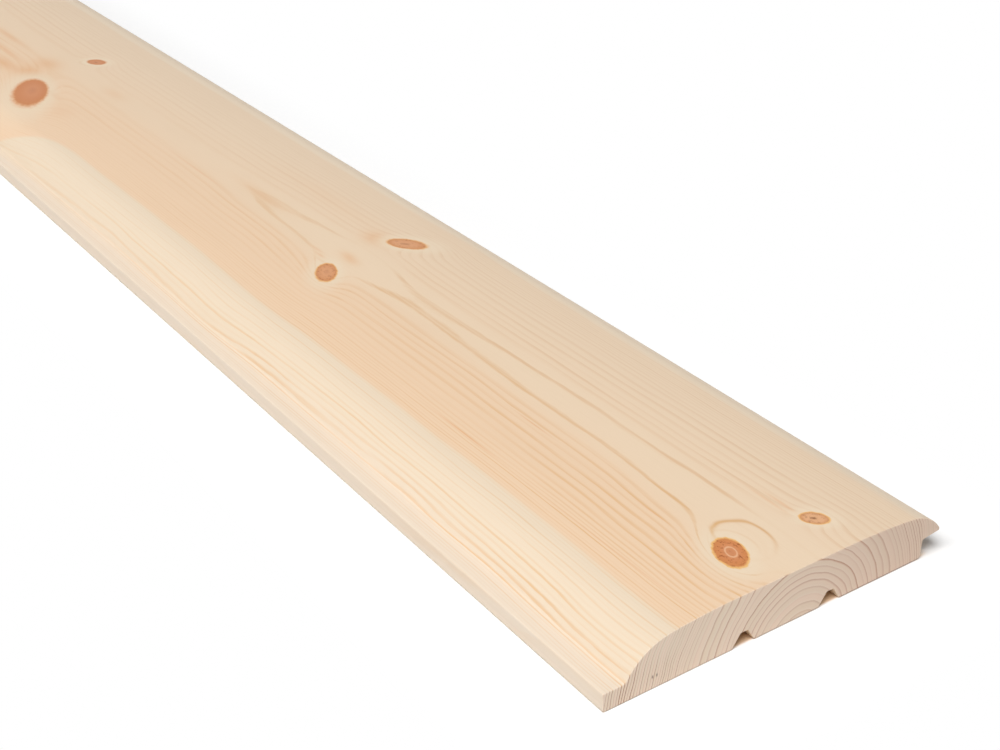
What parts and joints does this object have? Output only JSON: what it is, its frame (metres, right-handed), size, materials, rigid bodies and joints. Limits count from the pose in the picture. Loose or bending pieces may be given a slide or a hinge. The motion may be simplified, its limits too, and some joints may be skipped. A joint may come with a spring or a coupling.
{
  "type": "half-lap softwood board",
  "caption": "Cladding board with rounded face edges: the lower lip along one edge slips under the rebated upper lip of the next board, and relief grooves run along the back.",
  "frame": {"origin": "middle of the back face, which lies on the floor", "axes": "+X along the board's length, +Y across it towards the upper lip, +Z out of its face"},
  "size_m": [1.8, 0.145, 0.02],
  "materials": {
    "pine": "planed softwood, unfinished, with knots"
  },
  "bodies": {
    "root": {"board": "pine"}
  },
  "joints": []
}
